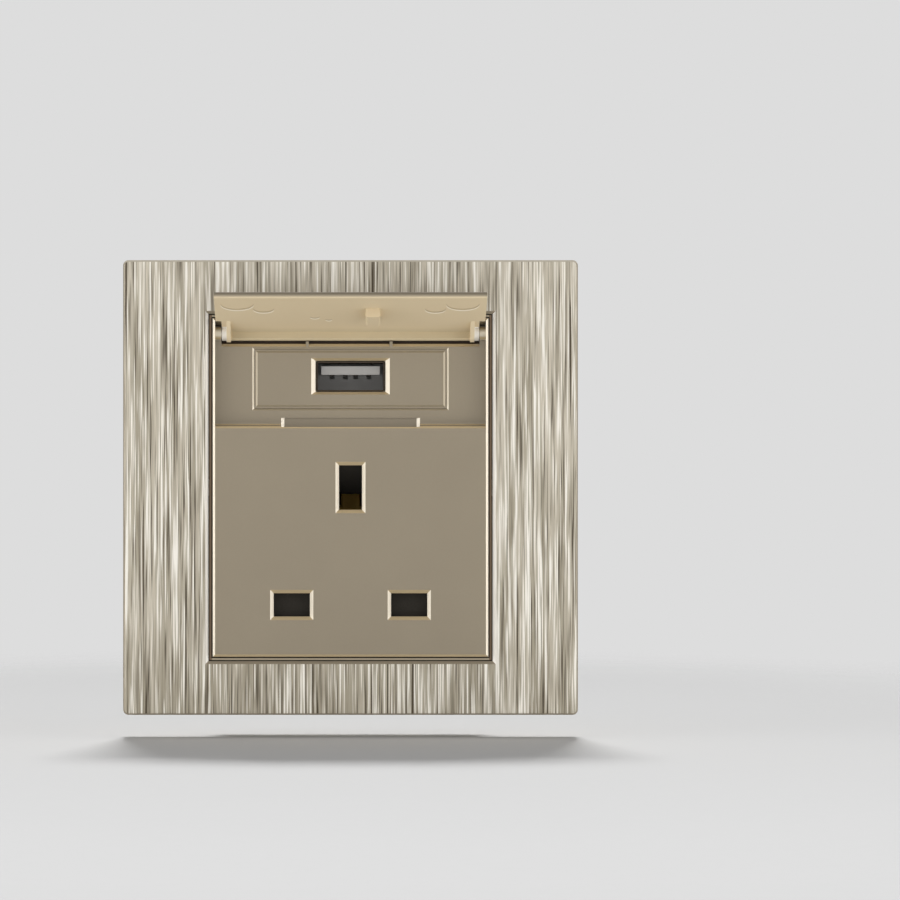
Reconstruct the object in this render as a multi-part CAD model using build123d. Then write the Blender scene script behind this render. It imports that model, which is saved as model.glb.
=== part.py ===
from build123d import *
import os
from math import cos, pi, sin, sqrt

# A 13 A wall outlet with a charging port behind a flip-up lid, on an 86 mm plate.
# X is to the right and Z up as one faces the plate, and Y points into the wall.
# The origin is the middle of the plate on the wall plane. The lid is open, as it is used.

# Trim frame: a thin square shell clipped over the yoke
plate_side = 86.0
plate_depth = 9.0
plate_corner_r = 1.0
frame_wall = 1.5
frame_edge_r = 0.5
window_bevel = 0.55
clip_w = 5.0
clip_t = 1.4
clip_x = 22.0
clip_border = 4.8
barb = 0.45
barb_h = 0.8
barb_gap = 0.15
clip_stop = 0.4
pry_w = 9.0
pry_h = 1.3

# Yoke: the moulding that is screwed to the wall box, with a thin lip round its window
yoke_t = 2.6
yoke_gap = 0.3
lip_t = 0.38
lip_drop = 0.5
lip_root_t = 1.0
lip_shoulder = 2.2
rim_gap = 0.25
frame_gap = 0.2
fixing_pitch = 60.3
fixing_hole_r = 2.1
fixing_head_r = 3.7
post_w = 4.0
post_inset = 5.0
nose_w = 8.0
nose_t = 0.35
nose_reach = 0.5
nose_offset = 15.0

# Socket face: the front moulding, which drops into the yoke from behind
insert_w = 52.1
insert_h = 64.0
insert_edge = 0.45
face_proud = 0.3
face_t = 2.4
skirt_t = 1.6
flange_w = 1.1
flange_t = 1.0
seat_gap = 0.15
recess_h = 20.2
recess_depth = 3.3
recess_wall = 0.45
step_r = 1.2
step_root_r = 0.5
floor_t = 1.5
scoop_w = 26.3
scoop_lip = 0.35
scoop_rise = 1.4
scoop_depth = 0.45
scoop_end = 0.6

# Pin holes of the 13 A outlet: the earth hole is at the plate's centre
pin_pitch_x = 22.2
pin_drop = 22.2
pin_hole_w = 6.85
pin_hole_h = 4.4
earth_hole_w = 4.35
earth_hole_h = 8.4
pin_bevel = 0.65

# Lid and its hinge
lid_gap = 0.15
lid_side_gap = 0.6
lid_t = 1.4
lid_edge_r = 0.9
lid_lip = 0.15
lid_open = 108.0
pivot_drop = 2.8
pivot_depth = 2.2
barrel_gap = 0.4
heel_rise = 1.3
heel_h = 1.55
heel_lip = 0.2
lug_t = 0.8
collar_t = 0.9
collar_r = 1.15
lug_r = 1.7
lug_inset = 1.7
gusset_run = 4.5
relief_skin = 0.7
hinge_pin_r = 0.7
hinge_pin_gap = 0.08
cheek_r = 1.3
slot_drop = 1.95
slot_end_gap = 0.12
slot_edge = 0.52
slot_wall = 1.2
rib_w = 0.55
rib_h = 0.45
rib_spots = (-8.2, 7.7)
bumper_w = 2.75
bumper_h = 1.75
bumper_edge = 0.3
bumper_x = 4.2
bumper_near = 6.7
bumper_far = 11.5
mark_depth = 0.1
mark_spots = ((-21.2, 13.7, 3.1), (-16.3, 11.1, 1.95), (15.9, 11.1, 1.95), (21.0, 13.7, 3.1))

# Charging port in its fascia
fascia_w = 35.9
fascia_foot = 3.5
fascia_head = 1.35
fascia_gap = 0.05
fascia_edge = 0.33
fascia_rim = 0.27
fascia_lap = 1.0
fascia_lap_t = 1.0
usb_rise = 9.3
usb_w = 12.5
usb_h = 5.12
usb_sheet = 0.3
usb_corner_r = 0.5
usb_mouth_bevel_x = 0.8
usb_mouth_bevel_z = 0.5
usb_mouth_depth = 0.7
usb_entry = 0.2
usb_gap = 0.1
usb_room = 8.0
usb_spring_x = 3.1
usb_spring_w = 2.0
usb_spring_start = 2.0
usb_spring_len = 6.0
insulator_gap = 0.05
tongue_w = 11.1
tongue_t = 1.6
tongue_clear = 0.62
tongue_back = 1.2
tongue_drop = 0.7
contact_leaf_drop = 2.4
contact_leaf_w = 0.9
contact_leaf_t = 0.2
contact_leaf_x = (-3.5, -1.0, 1.0, 3.5)
contact_slot_h = 0.75
contact_slot_depth = 1.5

# Shutter, its spring and the cover that guides it
shutter_gap = 0.2
shutter_t = 1.8
shutter_lap = 0.8
stem_w = 8.0
cam_w = 4.8
cam_top = 0.3
stop_w = 6.0
stop_t = 1.0
cover_t = 1.5
cover_skirt_t = 1.5
pin_clear = 0.4
rail_t = 1.0
rail_h = 1.6
spring_x = 8.0
spring_r = 1.0
spring_wire_r = 0.18
spring_turns = 5
spring_runs = 10
spring_len = 11.0
spring_ledge_t = 1.4
spring_ledge_over = 0.8
spring_gap = 0.12

# Rear housing and what is screwed into it
housing_depth = 18.0
housing_wall = 1.6
housing_inset = 0.45
shelf_drop = 2.3
divider_t = 0.8
housing_corner_r = 1.5
boss_screw_r = 1.0
boss_w = 5.0
boss_inset = 4.2
screw_gap = 0.05
screw_clear = 0.1
screw_head_r = 1.9
screw_head_t = 0.9
screw_bite = 2.4
wire_hole_gap = 0.4

# Brass contacts and terminals
brass_t = 0.8
jaw_w = 6.0
jaw_mouth = 2.9
jaw_grip = 1.7
jaw_root = 3.2
jaw_front = 1.0
jaw_grip_y = 3.5
live_jaw_len = 8.2
earth_jaw_len = 13.4
earth_jaw_w = 7.0
earth_strap_w = 5.6
tail_w = 2.5
tail_x = 17.5
terminal_w = 8.0
terminal_l = 8.0
wire_bore_r = 2.1
wire_y = 12.0
terminal_screw_r = 1.7
terminal_head_r = 2.7
terminal_head_t = 1.3
driver_slot_w = 0.8
driver_slot_depth = 0.6

# Charger board and its components
board_t = 1.6
board_side_gap = 0.35
board_edge_gap = 0.3
board_top_gap = 0.6
board_post_w = 3.0
board_post_inset = 2.2
core_w = 11.0
core_h = 5.0
core_d = 9.6
core_leg = 2.2
winding_gap = 0.2
winding_h = 9.6
core_x = -13.6
input_cap_r = 3.15
input_cap_len = 9.5
input_cap_x = 15.0
input_cap_rise = 1.6
output_cap_r = 2.5
output_cap_len = 8.5
output_cap_x = 11.2
output_cap_drop = 5.0
cap_edge = 0.4
chip_w = 5.0
chip_h = 4.0
chip_t = 1.6

# Levels that follow from the sizes above
face_y = -(plate_depth + face_proud)
floor_y = face_y + recess_depth
floor_back_y = floor_y + floor_t
top_z = insert_h / 2
step_z = top_z - recess_h
side_x = insert_w / 2
room_x = side_x - skirt_t
room_z = top_z - skirt_t
recess_x = side_x - recess_wall
rebate_depth = flange_t + nose_t
pivot_y = face_y + pivot_depth
pivot_z = top_z - pivot_drop
slot_z = pivot_z - slot_drop
slot_back_y = pivot_y + pivot_depth + barrel_gap
slot_wall_y = slot_back_y + slot_wall
slot_wall_z = slot_z - slot_wall
lid_x = side_x - lid_side_gap
lug_x = side_x - lug_inset
lug_in_x = lug_x - collar_t - lug_t
slot_x = lug_x + slot_end_gap
fascia_low = step_z + fascia_foot
fascia_high = slot_z - fascia_head
usb_z = step_z + usb_rise
tongue_tip_y = floor_back_y + tongue_drop
board_y = usb_room
deck_y = face_y + face_t + 2 * shutter_gap + shutter_t
shutter_travel = pin_hole_h + shutter_lap + shutter_gap
pin_x = pin_pitch_x / 2
terminal_front_y = jaw_front + live_jaw_len
back_y = housing_depth - housing_wall
housing_x = side_x - housing_inset
housing_z = top_z - housing_inset
boss_x = side_x - boss_inset
boss_z = top_z - boss_inset
board_x = boss_x - boss_w / 2 - board_side_gap
partition_z = step_z - shelf_drop
terminal_z = -(housing_z - housing_wall)


def block(x, y, z):
    """A box between two limits along each axis."""
    middle = [(low + high) / 2 for low, high in (x, y, z)]
    return Pos(*middle) * Box(*[high - low for low, high in (x, y, z)])


def slab(width, height, corner_r, y0, y1, x=0, z=0):
    """A rectangle with round corners, as seen from the front, from depth y0 back to y1."""
    front = Plane((x, y0, z), x_dir=(1, 0, 0), z_dir=(0, 1, 0))
    return extrude(front * RectangleRounded(width, height, corner_r), amount=y1 - y0)


def sheet(width, height, y0, y1):
    """A square-cornered slab about the middle of the plate, from depth y0 back to y1."""
    return block((-width / 2, width / 2), (y0, y1), (-height / 2, height / 2))


def rod(radius, start, end):
    """A round bar between two points."""
    way = Vector(*end) - Vector(*start)
    return extrude(Plane(start, z_dir=way) * Circle(radius), amount=way.length)


def across(outline, x0, x1):
    """A closed outline of (y, z) points run across from x0 to x1."""
    face = make_face(Polyline(*[(x0, y, z) for y, z in outline], close=True))
    return extrude(face, amount=x1 - x0, dir=(1, 0, 0))


def upright(outline, z0, z1):
    """A closed outline of (x, y) points run up from z0 to z1."""
    face = make_face(Polyline(*[(x, y, z0) for x, y in outline], close=True))
    return extrude(face, amount=z1 - z0, dir=(0, 0, 1))


def mouth(width, height, bevel_x, bevel_z, depth, y, x=0, z=0):
    """The funnel of a bevelled hole: it narrows to width by height at this depth behind y."""
    front = Plane((x, y, z), x_dir=(1, 0, 0), z_dir=(0, 1, 0))
    outer = front * Rectangle(width + 2 * bevel_x, height + 2 * bevel_z)
    inner = front.offset(depth) * Rectangle(width, height)
    return loft([outer, inner])


def both_sides(piece):
    """The piece with its mirror image at the other side of the plate."""
    return piece + mirror(piece, about=Plane.YZ)


def make_trim_frame():
    """Thin shell with a bevelled window, four clip legs and a slot to prise it off."""
    front_y = -plate_depth
    shell = slab(plate_side, plate_side, plate_corner_r, front_y, 0)
    shell = fillet(shell.faces().sort_by(Axis.Y)[0].edges(), frame_edge_r)
    inner = plate_side - 2 * frame_wall
    shell -= sheet(inner, inner, front_y + frame_wall, 0)
    rim = 2 * (rim_gap + lip_t + frame_gap)
    window_w, window_h = insert_w + rim, insert_h + rim
    shell -= sheet(window_w, window_h, front_y, front_y + frame_wall)
    shell -= mouth(window_w, window_h, window_bevel, window_bevel, window_bevel, front_y)
    leg_z = plate_side / 2 - clip_border
    leg = block(
        (clip_x - clip_w / 2, clip_x + clip_w / 2),
        (front_y + frame_wall, -clip_stop),
        (leg_z - clip_t / 2, leg_z + clip_t / 2),
    )
    inner_z = leg_z - clip_t / 2
    hook = [(-clip_stop - barb_h, inner_z - barb), (-clip_stop, inner_z), (-clip_stop - barb_h, inner_z)]
    leg += across(hook, clip_x - clip_w / 2, clip_x + clip_w / 2)
    legs = both_sides(leg)
    shell += legs + mirror(legs, about=Plane.XY)
    foot_z = -plate_side / 2
    shell -= block((-pry_w / 2, pry_w / 2), (-pry_h, 0), (foot_z, foot_z + frame_wall))
    return shell


def make_yoke():
    """Plate with the fixing holes, a lip round its window and a rebate for the module's flange."""
    side = plate_side - 2 * (frame_wall + yoke_gap)
    yoke = sheet(side, side, -yoke_t, 0)
    window_w, window_h = insert_w + 2 * rim_gap, insert_h + 2 * rim_gap
    root_y = -(plate_depth - lip_shoulder)
    yoke += sheet(window_w + 2 * lip_root_t, window_h + 2 * lip_root_t, root_y, -yoke_t)
    lip_y = -(plate_depth - lip_drop)
    yoke += sheet(window_w + 2 * lip_t, window_h + 2 * lip_t, lip_y, -yoke_t)
    fixing_x = fixing_pitch / 2
    lip_x = window_w / 2 + lip_t
    head_room = rod(fixing_head_r, (fixing_x, root_y, 0), (fixing_x, -yoke_t, 0))
    head_room &= block((lip_x, lip_x + fixing_pitch), (root_y, -yoke_t), (-fixing_head_r, fixing_head_r))
    fixing = rod(fixing_hole_r, (fixing_x, -yoke_t, 0), (fixing_x, 0, 0))
    yoke -= both_sides(head_room + fixing)
    yoke -= sheet(window_w, window_h, lip_y, 0)
    lap = 2 * (flange_w + seat_gap)
    rebate_w, rebate_h = insert_w + lap, insert_h + lap
    yoke -= sheet(rebate_w, rebate_h, -rebate_depth, 0)
    nose = block(
        (rebate_w / 2 - nose_reach, rebate_w / 2),
        (-nose_t, 0),
        (nose_offset - nose_w / 2, nose_offset + nose_w / 2),
    )
    noses = both_sides(nose)
    yoke += noses + mirror(noses, about=Plane.XY)
    leg_z = plate_side / 2 - clip_border
    slot_w = clip_w + 2 * yoke_gap
    slot_h = clip_t / 2 + yoke_gap
    slot = block((clip_x - slot_w / 2, clip_x + slot_w / 2), (-yoke_t, 0), (leg_z - slot_h, leg_z + slot_h))
    pocket_y = -clip_stop - barb_h - barb_gap
    slot += block(
        (clip_x - slot_w / 2, clip_x + slot_w / 2),
        (pocket_y, 0),
        (leg_z - clip_t / 2 - barb - yoke_gap, leg_z),
    )
    slots = both_sides(slot)
    yoke -= slots + mirror(slots, about=Plane.XY)
    post_at = side / 2 - post_inset
    post_x = (post_at - post_w / 2, post_at + post_w / 2)
    posts = both_sides(block(post_x, (-plate_depth + frame_wall, -yoke_t), post_x))
    yoke += posts + mirror(posts, about=Plane.XY)
    return yoke


def hinge_side():
    """One cheek of the lid's hinge: a round tab beside the slot, with the pin for the lid's lug."""
    cheek = block((slot_x, recess_x), (pivot_y, slot_back_y), (pivot_z - cheek_r, pivot_z + cheek_r))
    cheek += rod(cheek_r, (slot_x, pivot_y, pivot_z), (recess_x, pivot_y, pivot_z))
    return cheek + rod(hinge_pin_r, (lug_in_x, pivot_y, pivot_z), (slot_x, pivot_y, pivot_z))


def spandrel(y, z, to_y, to_z, radius):
    """What lies between a square corner and a round one, run across the recess; to_y and to_z are 1 or -1."""
    start, end = (0, y + to_y * radius, z), (0, y, z + to_z * radius)
    off = radius * (1 - sqrt(0.5))
    edges = [
        ThreePointArc(start, (0, y + to_y * off, z + to_z * off), end),
        Polyline(end, (0, y, z), start),
    ]
    return extrude(make_face(edges), amount=recess_x, dir=(1, 0, 0), both=True)


def finger_scoop():
    """Shallow hollow under the lid's free edge, with slanted ends, that a fingernail fits."""
    low, high = step_z - scoop_lip, step_z + scoop_rise
    deep_y = floor_y + scoop_depth
    half = scoop_w / 2
    right = [(half, face_y), (half, floor_y), (half - scoop_end, deep_y)]
    left = [(-x, y) for x, y in reversed(right)]
    return upright(right + left, low, high)


def make_socket_face():
    """Front moulding: pin holes, the lid's recess with its hinge, and the flange it seats on."""
    face = sheet(insert_w, insert_h, face_y, 0)
    face = chamfer(face.faces().sort_by(Axis.Y)[0].edges(), insert_edge)
    lap = 2 * flange_w
    face += sheet(insert_w + lap, insert_h + lap, -rebate_depth, -rebate_depth + flange_t)
    width = (-room_x, room_x)
    face -= block(width, (face_y + face_t, 0), (-room_z, step_z - skirt_t))
    face -= block(width, (floor_back_y, 0), (step_z - skirt_t, slot_wall_z))
    face -= block(width, (slot_wall_y, 0), (slot_wall_z, room_z))
    above = 2 * top_z
    face -= block((-recess_x, recess_x), (face_y, floor_y), (step_z, above))
    face -= block((-slot_x, slot_x), (floor_y, slot_back_y), (slot_z, above))
    slot_bevel = [(floor_y, slot_z), (floor_y, slot_z - slot_edge), (floor_y + slot_edge, slot_z)]
    face -= across(slot_bevel, -slot_x, slot_x)
    face += spandrel(floor_y, step_z, -1, 1, step_root_r)
    face -= spandrel(face_y, step_z, 1, -1, step_r)
    face -= finger_scoop()
    face += both_sides(hinge_side())
    for x in rib_spots:
        rib_z = (slot_z - slot_edge, slot_z + rib_h)
        face += block((x - rib_w / 2, x + rib_w / 2), (floor_y, slot_back_y), rib_z)
    border = fascia_rim + fascia_gap
    bed_w = fascia_w + 2 * border
    bed_z = (fascia_low - border, fascia_high + border)
    bed_h, bed_mid = bed_z[1] - bed_z[0], sum(bed_z) / 2
    face -= block((-bed_w / 2, bed_w / 2), (floor_y, floor_back_y), bed_z)
    face -= mouth(bed_w, bed_h, fascia_edge, fascia_edge, fascia_edge, floor_y, z=bed_mid)
    holes = [(s * pin_x, -pin_drop, pin_hole_w, pin_hole_h) for s in (-1, 1)]
    for x, z, w, h in holes + [(0, 0, earth_hole_w, earth_hole_h)]:
        face -= block((x - w / 2, x + w / 2), (face_y, face_y + face_t), (z - h / 2, z + h / 2))
        face -= mouth(w, h, pin_bevel, pin_bevel, pin_bevel, face_y, x, z)
    boss_edge = boss_w / 2
    pillars = block((boss_x - boss_edge, room_x), (face_y + face_t, 0), (-room_z, boss_edge - boss_z))
    pillars += block((boss_x - boss_edge, room_x), (slot_wall_y, 0), (boss_z - boss_edge, room_z))
    face += both_sides(pillars)
    for z in (-boss_z, boss_z):
        face -= both_sides(rod(boss_screw_r + screw_gap, (boss_x, -screw_bite, z), (boss_x, 0, z)))
    return face


def make_lid():
    """Lid modelled shut, with its round heel, lugs, corner reliefs and bumper, then swung open."""
    tip_z = step_z + lid_gap
    under_y = face_y + lid_t
    heel_y = under_y + heel_h
    heel_z = pivot_z + heel_rise
    heel_top = pivot_z + sqrt(pivot_depth**2 - (heel_y - pivot_y) ** 2)
    crown = Vector(0, pivot_y, pivot_z) + Vector(0, -pivot_depth, pivot_depth) * sqrt(0.5)
    bend = (0, face_y, pivot_z)
    edge_start = (0, face_y, tip_z + lid_edge_r)
    edge_end = (0, face_y + lid_edge_r, tip_z)
    edge_off = lid_edge_r * (1 - sqrt(0.5))
    section = [
        ThreePointArc((0, heel_y, heel_top), crown, bend),
        Line(bend, edge_start),
        ThreePointArc(edge_start, (0, face_y + edge_off, tip_z + edge_off), edge_end),
        Polyline(
            edge_end,
            (0, under_y - lid_lip, tip_z),
            (0, under_y, tip_z + lid_lip),
            (0, under_y, heel_z),
            (0, heel_y - heel_lip, heel_z),
            (0, heel_y, heel_z + heel_lip),
            (0, heel_y, heel_top),
        ),
    ]
    lid = extrude(make_face(section), amount=lid_x, dir=(1, 0, 0), both=True)
    corner = (lug_x, 2 * lid_x)
    skin_y = face_y + relief_skin
    relief = block(corner, (skin_y, heel_y), (pivot_z - gusset_run, pivot_z))
    relief += block(corner, (face_y, heel_y), (pivot_z, pivot_z + 2 * pivot_depth))
    lid -= both_sides(relief)
    lug_out_x = lug_in_x + lug_t
    lug = rod(lug_r, (lug_in_x, pivot_y, pivot_z), (lug_out_x, pivot_y, pivot_z))
    gusset = [
        (under_y, pivot_z - gusset_run),
        (under_y, heel_z),
        (pivot_y, pivot_z),
        (pivot_y + lug_r * sqrt(0.5), pivot_z - lug_r * sqrt(0.5)),
    ]
    lug += across(gusset, lug_in_x, lug_out_x)
    lug &= block((0, lid_x), (under_y - lid_t / 2, pivot_y + 2 * lug_r), (step_z, heel_z + lug_r))
    bore = hinge_pin_r + hinge_pin_gap
    lug += rod(collar_r, (lug_out_x, pivot_y, pivot_z), (lug_x, pivot_y, pivot_z))
    lug -= rod(bore, (lug_in_x, pivot_y, pivot_z), (lug_x, pivot_y, pivot_z))
    lid += both_sides(lug)
    bumper = block(
        (bumper_x - bumper_w / 2, bumper_x + bumper_w / 2),
        (under_y, under_y + bumper_h),
        (pivot_z - bumper_far, pivot_z - bumper_near),
    )
    lid += chamfer(bumper.edges().filter_by(Axis.Z).sort_by(Axis.Y)[-2:], bumper_edge)
    for x, reach, radius in mark_spots:
        lid -= rod(radius, (x, under_y - mark_depth, pivot_z - reach), (x, under_y, pivot_z - reach))
    return lid.rotate(Axis((0, pivot_y, pivot_z), (1, 0, 0)), -lid_open)


def make_fascia():
    """Panel flush with the recess floor, lapped behind it, with the port's bevelled window."""
    panel = block((-fascia_w / 2, fascia_w / 2), (floor_y, floor_back_y), (fascia_low, fascia_high))
    panel = chamfer(panel.faces().sort_by(Axis.Y)[0].edges(), fascia_edge)
    rim_x = fascia_w / 2 + fascia_rim
    rim_z = (fascia_low - fascia_rim, fascia_high + fascia_rim)
    panel += block((-rim_x, rim_x), (floor_y + fascia_edge, floor_back_y), rim_z)
    lap_x = rim_x + fascia_lap
    lap_y = (floor_back_y, floor_back_y + fascia_lap_t)
    panel += block((-lap_x, lap_x), lap_y, (fascia_low - fascia_lap, slot_wall_z - fascia_gap))
    shell = 2 * (usb_sheet + usb_gap)
    window_w, window_h = usb_w + shell, usb_h + shell
    panel -= slab(window_w, window_h, usb_corner_r, floor_y, floor_back_y + fascia_lap_t, z=usb_z)
    return panel - mouth(
        window_w, window_h, usb_mouth_bevel_x, usb_mouth_bevel_z, usb_mouth_depth, floor_y, z=usb_z
    )


def make_usb_shell():
    """Folded sheet tube of the port, with spring windows in its top and bottom."""
    front_y = floor_back_y - usb_entry
    outer = slab(usb_w + 2 * usb_sheet, usb_h + 2 * usb_sheet, usb_corner_r, front_y, board_y, z=usb_z)
    shell = outer - slab(usb_w, usb_h, usb_corner_r - usb_sheet, front_y, board_y, z=usb_z)
    window_x = (usb_spring_x - usb_spring_w / 2, usb_spring_x + usb_spring_w / 2)
    window_y = (front_y + usb_spring_start, front_y + usb_spring_start + usb_spring_len)
    through = (usb_z - usb_h, usb_z + usb_h)
    return shell - both_sides(block(window_x, window_y, through))


def make_usb_insulator():
    """White moulding in the back of the shell, with the tongue and four slots for the leaves."""
    half_w = usb_w / 2 - insulator_gap
    half_h = usb_h / 2 - insulator_gap
    base = block((-half_w, half_w), (tongue_back, board_y), (usb_z - half_h, usb_z + half_h))
    tongue_top = usb_z + usb_h / 2 - tongue_clear
    leaf_z = tongue_top - tongue_t
    base += block((-tongue_w / 2, tongue_w / 2), (tongue_tip_y, tongue_back), (leaf_z, tongue_top))
    for x in contact_leaf_x:
        base -= block(
            (x - contact_leaf_w / 2, x + contact_leaf_w / 2),
            (tongue_back, tongue_back + contact_slot_depth),
            (leaf_z - contact_slot_h, leaf_z),
        )
    return base


def make_usb_contacts():
    """Four flat leaves under the tongue, ending in the insulator's slots."""
    leaf_z = usb_z + usb_h / 2 - tongue_clear - tongue_t
    leaves = [
        block(
            (x - contact_leaf_w / 2, x + contact_leaf_w / 2),
            (tongue_tip_y + contact_leaf_drop, tongue_back + contact_slot_depth),
            (leaf_z - contact_leaf_t, leaf_z),
        )
        for x in contact_leaf_x
    ]
    return Compound(children=leaves)


def make_shutter():
    """Sliding plate: wings that close the live and neutral holes, and a cam for the earth pin."""
    front_y = face_y + face_t + shutter_gap
    rear_y = front_y + shutter_t
    wing_x = pin_x + pin_hole_w / 2 + shutter_lap
    slope_top = earth_hole_h / 2
    slope_low = slope_top - shutter_travel
    stem_top = slope_top + cam_top
    plate = block((-wing_x, wing_x), (front_y, rear_y), wing_limits())
    plate += block((-stem_w / 2, stem_w / 2), (front_y, rear_y), (wing_limits()[0], stem_top))
    pass_low = -earth_hole_h / 2 - shutter_travel - shutter_gap
    plate -= block((-cam_w / 2, cam_w / 2), (front_y, rear_y), (pass_low, slope_top))
    cam_y = front_y + shutter_travel
    cam = [
        (front_y, slope_top),
        (cam_y, slope_low),
        (cam_y, slope_low + shutter_t),
        (rear_y, stem_top),
        (front_y, stem_top),
    ]
    return plate + across(cam, -cam_w / 2, cam_w / 2)


def wing_limits():
    """Lower and upper edge of the shutter's wings at rest, lapping the holes they close."""
    reach = pin_hole_h / 2 + shutter_lap
    return -pin_drop - reach, -pin_drop + reach


def spring_ends():
    """Heights of the spring's lower end, on the shutter's wing, and of its upper end."""
    low = wing_limits()[1]
    return low, low + spring_len


def spring_depth():
    """Depth of the spring's axis, which keeps its wire just clear of the front wall."""
    return face_y + face_t + spring_gap + spring_r + spring_wire_r


def make_spring():
    """Compression spring on the shutter's right wing, its turns drawn in short straight runs."""
    low, high = spring_ends()
    start = low + spring_wire_r
    rise = high - low - 2 * spring_wire_r
    count = spring_turns * spring_runs
    turn = [2 * pi * step / spring_runs for step in range(count + 1)]
    path = Polyline(
        *[
            (
                spring_x + spring_r * cos(angle),
                spring_depth() + spring_r * sin(angle),
                start + rise * angle / turn[-1],
            )
            for angle in turn
        ]
    )
    wire = Plane(path @ 0, z_dir=path % 0) * RegularPolygon(spring_wire_r, 6)
    return sweep(wire, path, transition=Transition.RIGHT)


def make_contact_cover():
    """Inner plate behind the shutter: rails for its stem, stops for its wings, a ledge for the spring."""
    back = deck_y + cover_t
    x_half = room_x - seat_gap
    low, high = -(room_z - seat_gap), step_z - skirt_t - seat_gap
    cover = block((-x_half, x_half), (deck_y, 0), (low, high))
    inner_x = x_half - cover_skirt_t
    cover -= block((-inner_x, inner_x), (back, 0), (low + cover_skirt_t, high))
    clear = boss_w / 2 + seat_gap
    cover -= both_sides(block((boss_x - clear, room_x), (deck_y, 0), (low, clear - boss_z)))
    for x in (-pin_x, pin_x):
        half_w, half_h = pin_hole_w / 2 + pin_clear, pin_hole_h / 2 + pin_clear
        cover -= block((x - half_w, x + half_w), (deck_y, back), (-pin_drop - half_h, -pin_drop + half_h))
    cam_x = cam_w / 2 + pin_clear
    cover -= block((-cam_x, cam_x), (deck_y, back), (-earth_hole_h / 2 - pin_clear, high))
    rail_x = stem_w / 2 + shutter_gap
    wing_reach = spring_ends()[0] + shutter_travel + shutter_gap
    rail_y = (deck_y - rail_h, deck_y)
    cover += both_sides(block((rail_x, rail_x + rail_t), rail_y, (wing_reach, earth_hole_h / 2)))
    stop_high = wing_limits()[0] - shutter_gap
    stop_x = (pin_x - stop_w / 2, pin_x + stop_w / 2)
    cover += both_sides(block(stop_x, rail_y, (stop_high - stop_t, stop_high)))
    groove_r = spring_r + spring_wire_r + spring_gap
    ledge_x = (rail_x, spring_x + groove_r + spring_ledge_over)
    ledge_low = spring_ends()[1] + spring_gap
    cover += block(ledge_x, rail_y, (ledge_low, ledge_low + spring_ledge_t))
    start = (spring_x, spring_depth(), spring_ends()[0] - spring_gap)
    return cover - rod(groove_r, start, (spring_x, spring_depth(), ledge_low))


def make_rear_housing():
    """Open box behind the face: screw tubes, a wall below the charger, and the terminals' openings."""
    housing = slab(2 * housing_x, 2 * housing_z, housing_corner_r, 0, housing_depth)
    inner_x, inner_z = housing_x - housing_wall, housing_z - housing_wall
    housing -= block((-inner_x, inner_x), (0, back_y), (-inner_z, inner_z))
    shelf = block((-inner_x, inner_x), (0, back_y), (partition_z, partition_z + housing_wall))
    tail_half = tail_w / 2 + pin_clear
    notch_y = (terminal_front_y - brass_t - pin_clear, terminal_front_y + pin_clear)
    shelf -= both_sides(
        block((tail_x - tail_half, tail_x + tail_half), notch_y, (partition_z, partition_z + housing_wall))
    )
    housing += shelf
    divider_x = (pin_x / 2 - divider_t / 2, pin_x / 2 + divider_t / 2)
    housing += both_sides(block(divider_x, (terminal_front_y, back_y), (-inner_z, partition_z)))
    head_y = housing_depth - screw_head_t - screw_gap
    boss_edge = boss_w / 2
    for z in (-boss_z, boss_z):
        wall_z = sorted((z - boss_edge * z / boss_z, inner_z * z / boss_z))
        housing += both_sides(block((boss_x - boss_edge, inner_x), (0, back_y), wall_z))
        bore = rod(boss_screw_r + screw_clear, (boss_x, 0, z), (boss_x, housing_depth, z))
        bore += rod(screw_head_r + screw_clear, (boss_x, head_y, z), (boss_x, housing_depth, z))
        housing -= both_sides(bore)
    board_low, board_high = board_limits()
    post_mid, post_half = board_x - board_post_inset, board_post_w / 2
    post_x = (post_mid - post_half, post_mid + post_half)
    for z in (board_low + board_post_inset, board_high - board_post_inset):
        housing += both_sides(block(post_x, (board_y + board_t, back_y), (z - post_half, z + post_half)))
    screw_z = terminal_z + terminal_l / 2
    for x in (-pin_x, 0, pin_x):
        hole = wire_bore_r + wire_hole_gap
        housing -= rod(hole, (x, wire_y, -housing_z), (x, wire_y, -inner_z))
        housing -= rod(terminal_head_r + wire_hole_gap, (x, back_y, screw_z), (x, housing_depth, screw_z))
    return housing


def jaw(sign, length):
    """Outline of one spring jaw, as (depth, offset) points: it narrows to the grip, then flares."""
    back = jaw_front + length
    inner = [(back, jaw_root), (jaw_grip_y, jaw_grip), (jaw_front, jaw_mouth)]
    outer = [(y, offset + brass_t) for y, offset in reversed(inner)]
    return [(y, sign * offset) for y, offset in inner + outer]


def make_pin_contact(side):
    """Live or neutral contact: two jaws on a base, with a tail up to the charger board."""
    x = side * pin_x
    low, high = x - jaw_w / 2, x + jaw_w / 2
    base_y = (terminal_front_y - brass_t, terminal_front_y)
    reach = jaw_root + brass_t
    contact = block((low, high), base_y, (-pin_drop - reach, -pin_drop + reach))
    for sign in (-1, 1):
        outline = [(y, -pin_drop + offset) for y, offset in jaw(sign, live_jaw_len - brass_t)]
        contact += across(outline, low, high)
    tail_low, tail_high = tail_x - tail_w / 2, tail_x + tail_w / 2
    foot = sorted((side * pin_x, side * tail_high))
    contact += block(foot, base_y, (-pin_drop - tail_w / 2, -pin_drop + tail_w / 2))
    column = sorted((side * tail_low, side * tail_high))
    return contact + block(column, base_y, (-pin_drop - tail_w / 2, board_limits()[0]))


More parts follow.
